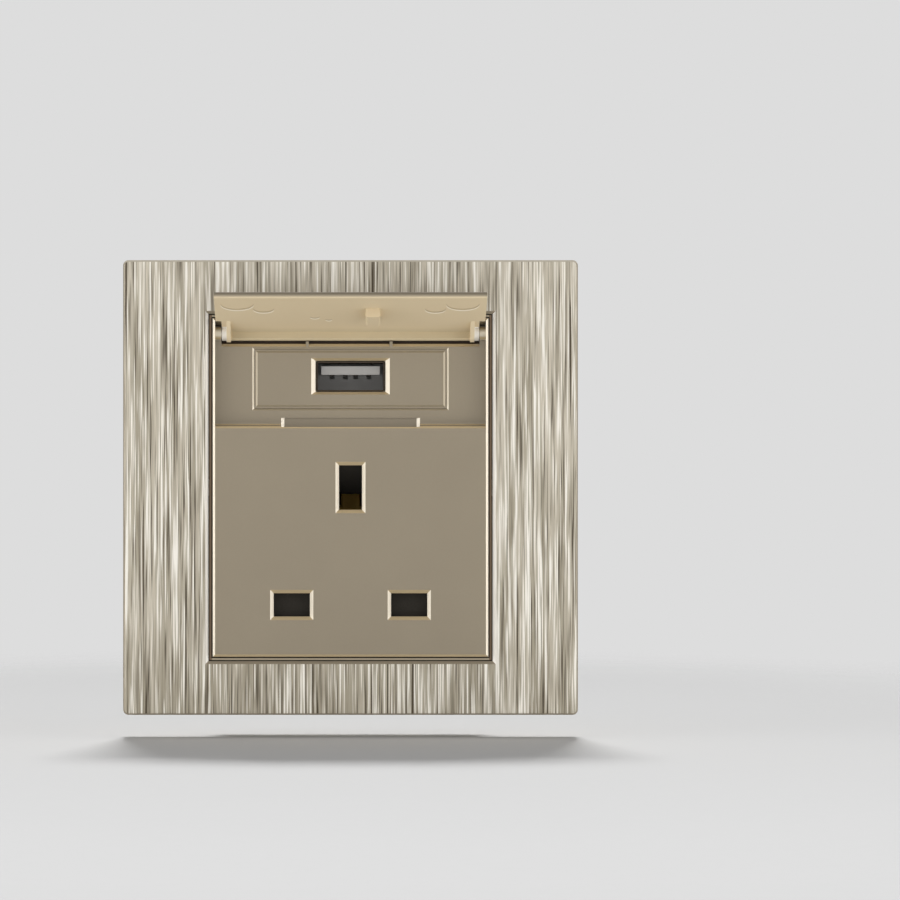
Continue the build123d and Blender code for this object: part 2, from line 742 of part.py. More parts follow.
def make_earth_contact():
    """Earth contact: jaws either side of the tall pin, and a strap down to its terminal."""
    base_y = (jaw_front + earth_jaw_len - brass_t, jaw_front + earth_jaw_len)
    half = earth_jaw_w / 2
    reach = jaw_root + brass_t
    contact = block((-reach, reach), base_y, (-half, half))
    for sign in (-1, 1):
        outline = [(offset, y) for y, offset in jaw(sign, earth_jaw_len - brass_t)]
        contact += upright(outline, -half, half)
    strap_x = (-earth_strap_w / 2, earth_strap_w / 2)
    return contact + block(strap_x, base_y, (terminal_z + terminal_l, -half))


def make_terminal(x):
    """Brass block with a bore for the wire from below and a screw hole from behind."""
    high = terminal_z + terminal_l
    body = block((x - terminal_w / 2, x + terminal_w / 2), (terminal_front_y, back_y), (terminal_z, high))
    middle = (terminal_z + high) / 2
    body -= rod(wire_bore_r, (x, wire_y, terminal_z), (x, wire_y, high))
    return body - rod(terminal_screw_r + screw_gap, (x, wire_y, middle), (x, back_y, middle))


def slotted_screw(radius, head_r, head_t, tip, seat, x, z):
    """A screw along Y from its tip back to the seat of its slotted head."""
    screw = rod(radius, (x, tip, z), (x, seat, z)) + rod(head_r, (x, seat, z), (x, seat + head_t, z))
    half = driver_slot_w / 2
    top = seat + head_t
    return screw - block((x - head_r, x + head_r), (top - driver_slot_depth, top), (z - half, z + half))


def make_terminal_screws():
    """The three clamping screws, each with its tip just short of the wire bore."""
    tip = wire_y + wire_bore_r + screw_gap
    z = terminal_z + terminal_l / 2
    return Compound(
        children=[
            slotted_screw(terminal_screw_r, terminal_head_r, terminal_head_t, tip, back_y, x, z)
            for x in (-pin_x, 0, pin_x)
        ]
    )


def make_housing_screws():
    """The four long screws that hold the rear housing to the face."""
    seat = housing_depth - screw_head_t - screw_gap
    tip = -screw_bite + screw_gap
    spots = [(x, z) for x in (-boss_x, boss_x) for z in (-boss_z, boss_z)]
    return Compound(
        children=[
            slotted_screw(boss_screw_r, screw_head_r, screw_head_t, tip, seat, x, z) for x, z in spots
        ]
    )


def board_limits():
    """Lower and upper edge of the charger board, between the housing's shelf and its top wall."""
    return partition_z + housing_wall + board_edge_gap, housing_z - housing_wall - board_top_gap


def make_board():
    """Charger board, upright behind the port."""
    return block((-board_x, board_x), (board_y, board_y + board_t), board_limits())


def make_transformer_core():
    """Ferrite core of two E halves: a frame with a middle leg."""
    half_w, half_h = core_w / 2, core_h / 2
    core = block((-half_w, half_w), (-core_d, 0), (-half_h, half_h))
    window_x = (core_leg / 2, half_w - core_leg)
    core -= both_sides(block(window_x, (core_leg - core_d, -core_leg), (-half_h, half_h)))
    return Pos(core_x, board_y, usb_z) * core


def make_transformer_winding():
    """Taped winding round the core's middle leg."""
    half_w = core_w / 2 - core_leg - winding_gap
    depth = (core_leg + winding_gap - core_d, -core_leg - winding_gap)
    coil = block((-half_w, half_w), depth, (-winding_h / 2, winding_h / 2))
    hole_x, hole_z = core_leg / 2 + winding_gap, core_h / 2 + winding_gap
    coil -= block((-hole_x, hole_x), depth, (-hole_z, hole_z))
    return Pos(core_x, board_y, usb_z) * coil


def make_capacitor(radius, length, x, rise):
    """Round can that stands forward from the board, some way above the port's middle."""
    z = usb_z + rise
    can = rod(radius, (x, board_y - length, z), (x, board_y, z))
    return chamfer(can.faces().sort_by(Axis.Y)[0].edges(), cap_edge)


def make_chip():
    """Controller chip on the back of the board."""
    low = board_y + board_t
    return block((-chip_w / 2, chip_w / 2), (low, low + chip_t), (usb_z - chip_h / 2, usb_z + chip_h / 2))


pieces = {
    "trim_frame": make_trim_frame(),
    "mounting_yoke": make_yoke(),
    "socket_face": make_socket_face(),
    "usb_lid": make_lid(),
    "usb_fascia": make_fascia(),
    "usb_shell": make_usb_shell(),
    "usb_insulator": make_usb_insulator(),
    "usb_contacts": make_usb_contacts(),
    "pin_shutter": make_shutter(),
    "shutter_spring": make_spring(),
    "contact_cover": make_contact_cover(),
    "rear_housing": make_rear_housing(),
    "live_contact": make_pin_contact(1),
    "neutral_contact": make_pin_contact(-1),
    "earth_contact": make_earth_contact(),
    "live_terminal": make_terminal(pin_x),
    "neutral_terminal": make_terminal(-pin_x),
    "earth_terminal": make_terminal(0),
    "terminal_screws": make_terminal_screws(),
    "housing_screws": make_housing_screws(),
    "usb_board": make_board(),
    "transformer_core": make_transformer_core(),
    "transformer_winding": make_transformer_winding(),
    "input_capacitor": make_capacitor(input_cap_r, input_cap_len, input_cap_x, input_cap_rise),
    "output_capacitor": make_capacitor(output_cap_r, output_cap_len, output_cap_x, -output_cap_drop),
    "control_chip": make_chip(),
}

os.makedirs("parts", exist_ok=True)
for name, piece in pieces.items():
    export_step(piece, f"parts/{name}.step")
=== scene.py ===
# A 13 A wall outlet with a charging port under a flip-up lid, dressed over its solids.
# X is to the right and Z up as one faces the plate, and Y points into the wall. Units are metres.

from math import cos, pi, radians, sin

import bpy
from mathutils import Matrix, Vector


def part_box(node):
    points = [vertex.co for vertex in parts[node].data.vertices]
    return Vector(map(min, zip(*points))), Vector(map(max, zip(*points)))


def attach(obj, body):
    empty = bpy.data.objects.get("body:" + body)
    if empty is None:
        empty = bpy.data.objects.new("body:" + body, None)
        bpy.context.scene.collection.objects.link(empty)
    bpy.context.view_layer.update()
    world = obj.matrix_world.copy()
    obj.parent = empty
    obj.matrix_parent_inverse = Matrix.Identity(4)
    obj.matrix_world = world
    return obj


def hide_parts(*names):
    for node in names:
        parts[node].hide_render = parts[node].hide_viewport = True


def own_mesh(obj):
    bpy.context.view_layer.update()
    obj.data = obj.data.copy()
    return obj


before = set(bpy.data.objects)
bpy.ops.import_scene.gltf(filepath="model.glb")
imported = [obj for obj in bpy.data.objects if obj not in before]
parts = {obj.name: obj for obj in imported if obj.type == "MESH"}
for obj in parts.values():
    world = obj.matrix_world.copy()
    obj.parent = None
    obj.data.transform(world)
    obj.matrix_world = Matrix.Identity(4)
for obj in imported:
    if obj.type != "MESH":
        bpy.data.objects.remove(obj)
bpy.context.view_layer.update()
bpy.ops.object.select_all(action="DESELECT")

# Mounting yoke
# A warm white ABS moulding with a satin skin, screwed to the wall box. From the front only its thin
# lip shows. The lip is painted darker as painted shade, brown at its sides, and its walls going into
# the gap between the trim frame and the socket face are painted near black as painted shade.
MM = 0.001


def linear(colour):
    """The linear RGBA of an sRGB hex colour."""
    shares = [int(colour[at : at + 2], 16) / 255 for at in (1, 3, 5)]
    return [s / 12.92 if s <= 0.04045 else ((s + 0.055) / 1.055) ** 2.4 for s in shares] + [1.0]


def add(tree, kind, inputs, out=None, **settings):
    """One shader node; an input, by name or by number, is a value or another node's output."""
    node = tree.nodes.new(kind)
    for name, value in settings.items():
        setattr(node, name, value)
    for name, value in inputs.items():
        named = [s for s in node.inputs if s.enabled and s.name == name]
        socket = named[0] if named else node.inputs[name]
        if isinstance(value, bpy.types.NodeSocket):
            tree.links.new(value, socket)
        else:
            socket.default_value = value
    return next((s for s in node.outputs if s.enabled and out in (None, s.name)), node)


def start(name):
    """A material with an empty tree, that tree, and the coordinates that its patterns read."""
    material = bpy.data.materials.new(name)
    material.use_nodes = True
    tree = material.node_tree
    tree.nodes.clear()
    return material, tree, add(tree, "ShaderNodeTexCoord", {}, "Object")


def dress(material, *names):
    """Gives the named solids this material."""
    for name in names:
        parts[name].data.materials.clear()
        parts[name].data.materials.append(material)


def drifting(tree, place, patch_mm, colour, shade):
    """A colour that goes over into a shade of it and back, in patches of about this size."""
    patches = add(tree, "ShaderNodeTexNoise", {"Vector": place, "Scale": 1 / (patch_mm * MM)})
    ends = {"Factor": patches, "A": linear(colour), "B": linear(shade)}
    return add(tree, "ShaderNodeMix", ends, data_type="RGBA")


def mould_skin(tree, place, tint, roughness):
    """Ends a tree as a moulded skin in this tint, its spark-eroded grain drawn coarse enough to show."""
    grain_mm, grain_depth, gloss_spread = 0.3, 0.012 * MM, 0.08
    grain = add(tree, "ShaderNodeTexNoise", {"Vector": place, "Scale": 1 / (grain_mm * MM)})
    limits = {"Value": grain, "To Min": roughness - gloss_spread, "To Max": roughness + gloss_spread}
    gloss = add(tree, "ShaderNodeMapRange", limits)
    relief = add(tree, "ShaderNodeBump", {"Height": grain, "Distance": grain_depth, "Strength": 0.5})
    shader = {"Base Color": tint, "Roughness": gloss, "Normal": relief, "IOR": 1.52}
    surface = add(tree, "ShaderNodeBsdfPrincipled", shader)
    add(tree, "ShaderNodeOutputMaterial", {"Surface": surface})


yoke_abs, tree, place = start("moulded_abs")
yoke_patch_mm, yoke_roughness = 9.0, 0.4
lip_front, lip_foot, lip_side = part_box("mounting_yoke")[0].y, -5.0 * MM, 26.2 * MM
gap_start, gap_full = lip_front + 0.06 * MM, lip_front + 0.2 * MM
plain = drifting(tree, place, yoke_patch_mm, "#e4dccd", "#dbd2c1")
across = add(tree, "ShaderNodeSeparateXYZ", {"Vector": place}, "X")
across = add(tree, "ShaderNodeMath", {0: across}, operation="ABSOLUTE")
# Painted shade: the lip is darker than the rest of the moulding, and browner at its sides.
upright = add(tree, "ShaderNodeMath", {0: across, 1: lip_side}, operation="GREATER_THAN")
ends = {"Factor": upright, "A": linear("#a2967f"), "B": linear("#705c45")}
lip = add(tree, "ShaderNodeMix", ends, data_type="RGBA")
into_wall = add(tree, "ShaderNodeSeparateXYZ", {"Vector": place}, "Y")
# Painted shade: the lip's walls turn near black going into the gap.
limits = {"Value": into_wall, "From Min": gap_start, "From Max": gap_full}
gap_shade = add(tree, "ShaderNodeMapRange", limits)
ends = {"Factor": gap_shade, "A": lip, "B": linear("#2c2013")}
lip = add(tree, "ShaderNodeMix", ends, data_type="RGBA")
on_plate = add(tree, "ShaderNodeMath", {0: into_wall, 1: lip_foot}, operation="GREATER_THAN")
ends = {"Factor": on_plate, "A": lip, "B": plain}
mould_skin(tree, place, add(tree, "ShaderNodeMix", ends, data_type="RGBA"), yoke_roughness)
dress(yoke_abs, "mounting_yoke")

# Rear housing
# The back box that goes into the wall, moulded in flame-retardant polycarbonate and held by four
# screws. It is off-white, with a matt texture from the mould.


def moulded(name, colour, shade, roughness):
    """A plain moulded or coated skin, in a colour that drifts slowly to a shade of it."""
    patch_mm = 9.0
    material, tree, place = start(name)
    mould_skin(tree, place, drifting(tree, place, patch_mm, colour, shade), roughness)
    return material


dress(moulded("matt_polycarbonate", "#e6e3dc", "#dcd8cf", 0.55), "rear_housing")

# Contacts and wire terminals
# The jaws are stamped from rolled brass strip and the terminal blocks are sawn from brass bar.
# Rolling leaves faint lines along the strip, and handling leaves duller patches.
brass, tree, place = start("rolled_brass")
line_mm, line_aspect, handled_mm = 0.25, 25, 4.0
along_strip = add(tree, "ShaderNodeMapping", {"Vector": place, "Scale": (1.0, 1.0, 1 / line_aspect)})
lines = add(tree, "ShaderNodeTexNoise", {"Vector": along_strip, "Scale": 1 / (line_mm * MM)})
tint = drifting(tree, place, handled_mm, "#d2ae62", "#b08c46")
gloss = add(tree, "ShaderNodeMapRange", {"Value": lines, "To Min": 0.38, "To Max": 0.58})
shader = {"Base Color": tint, "Metallic": 1.0, "Roughness": gloss}
add(tree, "ShaderNodeOutputMaterial", {"Surface": add(tree, "ShaderNodeBsdfPrincipled", shader)})
dress(brass, "live_contact", "neutral_contact", "earth_contact")
dress(brass, "live_terminal", "neutral_terminal", "earth_terminal")

# Screws and shutter spring
# Steel screws with a zinc coat, turned on a lathe, and a coil of drawn spring wire that the shutter
# presses against the cover's ledge. The zinc is a bluish grey with a fine cloudy grain.
zinc, tree, place = start("zinc_plated_steel")
cloud_mm = 0.8
cloud = add(tree, "ShaderNodeTexNoise", {"Vector": place, "Scale": 1 / (cloud_mm * MM), "Detail": 4.0})
ends = {"Factor": cloud, "A": linear("#c6c7c6"), "B": linear("#a2a3a2")}
tint = add(tree, "ShaderNodeMix", ends, data_type="RGBA")
gloss = add(tree, "ShaderNodeMapRange", {"Value": cloud, "To Min": 0.22, "To Max": 0.45})
shader = {"Base Color": tint, "Metallic": 1.0, "Roughness": gloss}
add(tree, "ShaderNodeOutputMaterial", {"Surface": add(tree, "ShaderNodeBsdfPrincipled", shader)})
dress(zinc, "terminal_screws", "housing_screws")

wire_r, wire_rings, shutter_travel = 0.18 * MM, 2, 5.4 * MM
coil_turns, turn_steps = 5, 24
coil_steps = coil_turns * turn_steps
coil_low, coil_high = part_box("shutter_spring")
coil_middle = (coil_low + coil_high) / 2
coil_r = (coil_high.x - coil_low.x) / 2 - wire_r
coil_long = coil_high.z - coil_low.z
coil_foot, coil_rise = coil_low.z + wire_r, coil_long - 2 * wire_r
bpy.ops.curve.primitive_bezier_curve_add(location=(0, 0, 0))
coil = bpy.context.object
coil.name = "return_coil"
coil.data.splines.clear()
wire = coil.data.splines.new("POLY")
wire.points.add(coil_steps)
for step, point in enumerate(wire.points):
    turn = 2 * pi * step / turn_steps
    x, y = coil_middle.x + coil_r * cos(turn), coil_middle.y + coil_r * sin(turn)
    point.co = (x, y, coil_foot + coil_rise * step / coil_steps, 1.0)
coil.data.bevel_depth = wire_r
coil.data.bevel_resolution = wire_rings
coil.data.use_fill_caps = True
bpy.ops.object.convert(target="MESH")
coil.data.materials.clear()
coil.data.materials.append(zinc)
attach(coil, "base")
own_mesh(coil)
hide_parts("shutter_spring")
bpy.ops.object.select_all(action="DESELECT")

# Shutter and the cover that guides it
# Both are moulded in nylon, which slides without grease. The charcoal shutter closes the two lower
# pin holes and stands behind the upper one, so that the holes look almost black.
dress(moulded("charcoal_nylon", "#28231b", "#211d16", 0.88), "pin_shutter")
dress(moulded("grey_nylon", "#211f1c", "#1b1916", 0.6), "contact_cover")

# Charger board
# A glass-fibre board with a green solder mask, a ferrite transformer in yellow tape, two cans in
# shrunk sleeves and a moulded chip. The housing hides them all.
dress(moulded("solder_mask", "#1f5a35", "#1a4c2d", 0.35), "usb_board")
dress(moulded("sintered_ferrite", "#2b2b2c", "#232324", 0.6), "transformer_core")
dress(moulded("polyester_tape", "#d9b43c", "#cda833", 0.3), "transformer_winding")
dress(moulded("shrink_sleeve", "#1b1c22", "#17181c", 0.25), "input_capacitor", "output_capacitor")
dress(moulded("moulded_epoxy", "#1b1b1b", "#161616", 0.5), "control_chip")

# Socket face and port fascia
# Polycarbonate mouldings sprayed with a satin champagne paint, whose fine metal flakes give a soft
# sheen. Deep in the slots and in the gaps round the rim the colour goes over into a near-black brown,
# which is painted shade.
paint_patch_mm, paint_colour, paint_shade = 14.0, "#988c76", "#918570"


def champagne(tree, place, paint, painted_ledge_tone, bare_and_painted_light, depth):
    """Ends a tree as satin paint with metal flakes, drawn coarser than they are so that they show.

    Upright bevels get a near-white painted highlight, and level bevels take the ledge tone, which
    is painted light on the face and painted shade on the lid. The second colour takes over where
    depth goes from 0 to 1: painted shade in the face's recesses, and on the lid its unpainted
    underside, which carries painted light and shade.
    """
    flake_mm, flake_depth = 0.28, 0.01 * MM
    flakes = add(tree, "ShaderNodeTexVoronoi", {"Vector": place, "Scale": 1 / (flake_mm * MM)}, "Color")
    flake = add(tree, "ShaderNodeSeparateColor", {"Color": flakes}, "Red")
    painted = add(tree, "ShaderNodeMath", {0: 1.0, 1: depth}, operation="SUBTRACT")
    facing = add(tree, "ShaderNodeTexCoord", {}, "Normal")
    facing = add(tree, "ShaderNodeVectorMath", {0: facing}, "Vector", operation="ABSOLUTE")
    sideways = add(tree, "ShaderNodeSeparateXYZ", {"Vector": facing}, "X")
    forward = add(tree, "ShaderNodeSeparateXYZ", {"Vector": facing}, "Y")
    endways = add(tree, "ShaderNodeSeparateXYZ", {"Vector": facing}, "Z")
    not_flat = add(tree, "ShaderNodeMapRange", {"Value": forward, "From Min": 0.92, "From Max": 0.84})
    not_wall = add(tree, "ShaderNodeMapRange", {"Value": forward, "From Min": 0.42, "From Max": 0.52})
    bevel = add(tree, "ShaderNodeMath", {0: not_flat, 1: not_wall}, operation="MULTIPLY")
    bevel = add(tree, "ShaderNodeMath", {0: bevel, 1: painted}, operation="MULTIPLY")
    # Painted highlight: upright bevels turn near white.
    upright = add(tree, "ShaderNodeMapRange", {"Value": sideways, "From Min": 0.2, "From Max": 0.6})
    painted_bevel_highlight = add(tree, "ShaderNodeMath", {0: bevel, 1: upright}, operation="MULTIPLY")
    # Level bevels take the ledge tone, painted light on the face and painted shade on the lid.
    level = add(tree, "ShaderNodeMapRange", {"Value": endways, "From Min": 0.3, "From Max": 0.6})
    ledge = add(tree, "ShaderNodeMath", {0: bevel, 1: level}, operation="MULTIPLY")
    ends = {"Factor": painted_bevel_highlight, "A": paint, "B": linear("#e0d6c3")}
    paint = add(tree, "ShaderNodeMix", ends, data_type="RGBA")
    ends = {"Factor": ledge, "A": paint, "B": painted_ledge_tone}
    paint = add(tree, "ShaderNodeMix", ends, data_type="RGBA")
    ends = {"Factor": depth, "A": paint, "B": bare_and_painted_light}
    tint = add(tree, "ShaderNodeMix", ends, data_type="RGBA")
    sheen = add(tree, "ShaderNodeMapRange", {"Value": ledge, "To Min": 0.55, "To Max": 0.25})
    sheen = add(tree, "ShaderNodeMath", {0: sheen, 1: painted}, operation="MULTIPLY")
    gloss = add(tree, "ShaderNodeMapRange", {"Value": flake, "To Min": 0.36, "To Max": 0.46})
    matt = add(tree, "ShaderNodeMapRange", {"Value": depth, "To Min": 0.0, "To Max": 0.25})
    gloss = add(tree, "ShaderNodeMath", {0: gloss, 1: matt}, operation="ADD")
    relief = add(tree, "ShaderNodeBump", {"Height": flake, "Distance": flake_depth, "Strength": 0.3})
    shader = {"Base Color": tint, "Metallic": sheen, "Roughness": gloss, "Normal": relief}
    shader |= {"Coat Weight": painted, "Coat Roughness": 0.2}
    add(tree, "ShaderNodeOutputMaterial", {"Surface": add(tree, "ShaderNodeBsdfPrincipled", shader)})


satin, tree, place = start("satin_champagne_paint")
# Painted shade: deep in the slots, and in the gaps round the rim, the paint goes over into a near-black
# brown.
shade_start, tone_fade = -5.2 * MM, 0.5 * MM
rim_x, rim_z, rim_depth, rim_fade = 25.95 * MM, 31.9 * MM, -8.8 * MM, 0.1 * MM
into_wall = add(tree, "ShaderNodeSeparateXYZ", {"Vector": place}, "Y")
limits = {"Value": into_wall, "From Min": shade_start, "From Max": shade_start + tone_fade}
recess_shade = add(tree, "ShaderNodeMapRange", limits)
beyond = add(tree, "ShaderNodeVectorMath", {0: place}, "Vector", operation="ABSOLUTE")
beyond = {0: beyond, 1: (rim_x, 0, rim_z)}
beyond = add(tree, "ShaderNodeVectorMath", beyond, "Vector", operation="SUBTRACT")
beside = add(tree, "ShaderNodeSeparateXYZ", {"Vector": beyond}, "X")
over = add(tree, "ShaderNodeSeparateXYZ", {"Vector": beyond}, "Z")
on_rim = add(tree, "ShaderNodeMath", {0: beside, 1: over}, operation="MAXIMUM")
on_rim = add(tree, "ShaderNodeMath", {0: on_rim, 1: 0.0}, operation="GREATER_THAN")
limits = {"Value": into_wall, "From Min": rim_depth, "From Max": rim_depth + rim_fade}
gap_shade = add(tree, "ShaderNodeMapRange", limits)
gap_shade = add(tree, "ShaderNodeMath", {0: gap_shade, 1: on_rim}, operation="MULTIPLY")
recess_shade = add(tree, "ShaderNodeMath", {0: recess_shade, 1: gap_shade}, operation="MAXIMUM")

# The cheeks that carry the hinge pins are painted pale, as painted light.
cheek_x, cheek_low, cheek_high, cheek_fade = 24.43 * MM, 27.85 * MM, 30.55 * MM, 0.1 * MM
height = add(tree, "ShaderNodeSeparateXYZ", {"Vector": place}, "Z")
limits = {"Value": height, "From Min": cheek_low, "From Max": cheek_low + cheek_fade}
cheek = add(tree, "ShaderNodeMapRange", limits)
below = add(tree, "ShaderNodeMath", {0: height, 1: cheek_high}, operation="LESS_THAN")
cheek = add(tree, "ShaderNodeMath", {0: cheek, 1: below}, operation="MULTIPLY")
outer = add(tree, "ShaderNodeMath", {0: beside, 1: cheek_x - rim_x}, operation="GREATER_THAN")
cheek = add(tree, "ShaderNodeMath", {0: cheek, 1: outer}, operation="MULTIPLY")
recessed = add(tree, "ShaderNodeMath", {0: into_wall, 1: rim_depth}, operation="GREATER_THAN")
cheek = add(tree, "ShaderNodeMath", {0: cheek, 1: recessed}, operation="MULTIPLY")
paint = drifting(tree, place, paint_patch_mm, paint_colour, paint_shade)
ends = {"Factor": cheek, "A": paint, "B": linear("#dcd1bb")}
paint = add(tree, "ShaderNodeMix", ends, data_type="RGBA")

# Level bevels get a tan painted light, but hardly so in the groove round the fascia.
groove_middle, groove_off, groove_reach = 20.55 * MM, 5.5 * MM, 0.7 * MM
off = add(tree, "ShaderNodeMath", {0: height, 1: groove_middle}, operation="SUBTRACT")
off = add(tree, "ShaderNodeMath", {0: off}, operation="ABSOLUTE")
on_groove = {0: off, 1: groove_off, 2: groove_reach}
on_groove = add(tree, "ShaderNodeMath", on_groove, operation="COMPARE")
ends = {"Factor": on_groove, "A": linear("#c6b28d"), "B": linear("#a0947d")}
painted_ledge_tone = add(tree, "ShaderNodeMix", ends, data_type="RGBA")
# The near-black brown is painted shade in the slots and gaps.
champagne(tree, place, paint, painted_ledge_tone, linear("#33220f"), recess_shade)
dress(satin, "socket_face", "usb_fascia")

# Charging port
# A folded tube of tinned steel round a pale moulded tongue, with four bronze leaves under it. The
# steel's colour is a dark brown-grey, which is painted shade inside the tube, with a smeary gloss,
# and the leaves are a dark brown.
tin, tree, place = start("tinned_steel")
smear_mm = 1.2
smear = add(tree, "ShaderNodeTexNoise", {"Vector": place, "Scale": 1 / (smear_mm * MM), "Detail": 4.0})
gloss = add(tree, "ShaderNodeMapRange", {"Value": smear, "To Min": 0.32, "To Max": 0.5})
# Painted shade: the steel is coloured dark for the shade inside the tube.
shader = {"Base Color": linear("#4c443b"), "Metallic": 1.0, "Roughness": gloss}
add(tree, "ShaderNodeOutputMaterial", {"Surface": add(tree, "ShaderNodeBsdfPrincipled", shader)})
dress(tin, "usb_shell")
dress(moulded("pale_polymer", "#a9a7a4", "#a09e9b", 0.45), "usb_insulator")
dress(moulded("dark_brown_bronze", "#3a3226", "#2c261d", 0.5), "usb_contacts")

# Lid
# A moulding with the same paint outside and a paler unpainted underside, hinged on two pins and
# open. It shows the round marks of the pins that pushed it out of the mould, each with a painted
# highlight on its near rim and painted shade on its far rim. Its heel is a little darker, which is
# painted shade, and its collars are almost white, which is painted light.
pale, tree, place = start("pale_champagne_moulding")
lid_rise = radians(18)
lid_outward = (0, sin(lid_rise), cos(lid_rise))
lid_along = (0, -cos(lid_rise), sin(lid_rise))
hinge = (0, -7.1 * MM, 29.2 * MM)
under_at, tone_fade = 26.49 * MM, 0.4 * MM
heel_start, heel_full, heel_side = 30.35 * MM, 29.65 * MM, 22.5 * MM
collar_side, collar_top = 23.43 * MM, 30.4 * MM
outward = {0: place, 1: lid_outward}
outward = add(tree, "ShaderNodeVectorMath", outward, "Value", operation="DOT_PRODUCT")
limits = {"Value": outward, "From Min": under_at + tone_fade, "From Max": under_at}
underside = add(tree, "ShaderNodeMapRange", limits)
across = add(tree, "ShaderNodeSeparateXYZ", {"Vector": place}, "X")
aside = add(tree, "ShaderNodeMath", {0: across}, operation="ABSOLUTE")
height = add(tree, "ShaderNodeSeparateXYZ", {"Vector": place}, "Z")
# Painted shade: the heel between the lugs is a little darker.
limits = {"Value": height, "From Min": heel_start, "From Max": heel_full}
on_heel = add(tree, "ShaderNodeMapRange", limits)
between_lugs = add(tree, "ShaderNodeMath", {0: aside, 1: heel_side}, operation="LESS_THAN")
on_heel = add(tree, "ShaderNodeMath", {0: on_heel, 1: between_lugs}, operation="MULTIPLY")
ends = {"Factor": on_heel, "A": linear("#dccaa8"), "B": linear("#cdbd9c")}
bare_and_painted_light = add(tree, "ShaderNodeMix", ends, data_type="RGBA")
# Painted light: the collars by the hinge pins are almost white.
on_collar = add(tree, "ShaderNodeMath", {0: aside, 1: collar_side}, operation="GREATER_THAN")
by_hinge = add(tree, "ShaderNodeMath", {0: height, 1: collar_top}, operation="LESS_THAN")
on_collar = add(tree, "ShaderNodeMath", {0: on_collar, 1: by_hinge}, operation="MULTIPLY")
ends = {"Factor": on_collar, "A": bare_and_painted_light, "B": linear("#fbf6ec")}
bare_and_painted_light = add(tree, "ShaderNodeMix", ends, data_type="RGBA")
from_hinge = add(tree, "ShaderNodeVectorMath", {0: place, 1: hinge}, "Vector", operation="SUBTRACT")
reach = {0: from_hinge, 1: lid_along}
reach = add(tree, "ShaderNodeVectorMath", reach, "Value", operation="DOT_PRODUCT")
spot = add(tree, "ShaderNodeCombineXYZ", {"X": across, "Y": reach})


def within(x_mm, reach_mm, radius_mm):
    """1 inside a round spot on the lid, and 0 outside it."""
    soft_mm = 0.05
    middle = {0: spot, 1: (x_mm * MM, reach_mm * MM, 0)}
    away = add(tree, "ShaderNodeVectorMath", middle, "Value", operation="DISTANCE")
    limits = {"From Min": (radius_mm + soft_mm) * MM, "From Max": (radius_mm - soft_mm) * MM}
    return add(tree, "ShaderNodeMapRange", {"Value": away} | limits)


light_mm, shade_mm = 0.5, 0.4
marks_mm = ((-21.2, 13.7, 3.1), (-16.3, 11.1, 1.95), (15.9, 11.1, 1.95), (21.0, 13.7, 3.1))
marks_mm += ((-6.7, 6.9, 0.9), (-4.1, 5.5, 0.6))
# Each mark gets a painted highlight on its near rim and painted shade on its far rim.
for x_mm, reach_mm, radius_mm in marks_mm:
    mark = within(x_mm, reach_mm, radius_mm)
    nearer = within(x_mm, reach_mm - light_mm, radius_mm)
    farther = within(x_mm, reach_mm + shade_mm, radius_mm)
    rim_light = add(tree, "ShaderNodeMath", {0: nearer, 1: mark}, operation="SUBTRACT", use_clamp=True)
    rim_shade = add(tree, "ShaderNodeMath", {0: mark, 1: farther}, operation="SUBTRACT", use_clamp=True)
    ends = {"Factor": rim_light, "A": bare_and_painted_light, "B": linear("#f7eedb")}
    bare_and_painted_light = add(tree, "ShaderNodeMix", ends, data_type="RGBA")
    ends = {"Factor": rim_shade, "A": bare_and_painted_light, "B": linear("#b7a37f")}
    bare_and_painted_light = add(tree, "ShaderNodeMix", ends, data_type="RGBA")
paint = drifting(tree, place, paint_patch_mm, paint_colour, paint_shade)
# The lid's level bevels take a dark brown, which is painted shade.
champagne(tree, place, paint, linear("#857962"), bare_and_painted_light, underside)
dress(pale, "usb_lid")

# Trim frame
# A thin shell with a brushed champagne skin, clipped over the yoke. The brush leaves upright strokes
# on its front, painted pale where they would catch the light and brown as painted shade where they
# are deep. Its sides are plain.
brushed, tree, place = start("brushed_champagne")
plate_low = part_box("trim_frame")[0]
front = plate_low.y
brush_way = {0: place, 1: (1, 0, 1), 2: (front, 0, front)}
brush_way = add(tree, "ShaderNodeVectorMath", brush_way, "Vector", operation="MULTIPLY_ADD")
over = add(tree, "ShaderNodeSeparateXYZ", {"Vector": brush_way}, "X")
along = add(tree, "ShaderNodeSeparateXYZ", {"Vector": brush_way}, "Z")


def strokes(width_mm, length_mm, seed):
    """Noise along the brush, in straight lanes of this width that don't follow one another.

    The lanes are drawn wider than real ones, so that they show.
    """
    lane_step = 1.37
    lane = add(tree, "ShaderNodeMath", {0: over, 1: width_mm * MM}, operation="SNAP")
    lane = add(tree, "ShaderNodeMath", {0: lane, 1: lane_step / (width_mm * MM)}, operation="MULTIPLY")
    run = add(tree, "ShaderNodeMath", {0: along, 1: 1 / (length_mm * MM)}, operation="MULTIPLY")
    lane = add(tree, "ShaderNodeCombineXYZ", {"X": lane, "Y": seed, "Z": run})
    return add(tree, "ShaderNodeTexNoise", {"Vector": lane, "Scale": 1.0, "Detail": 1.0})


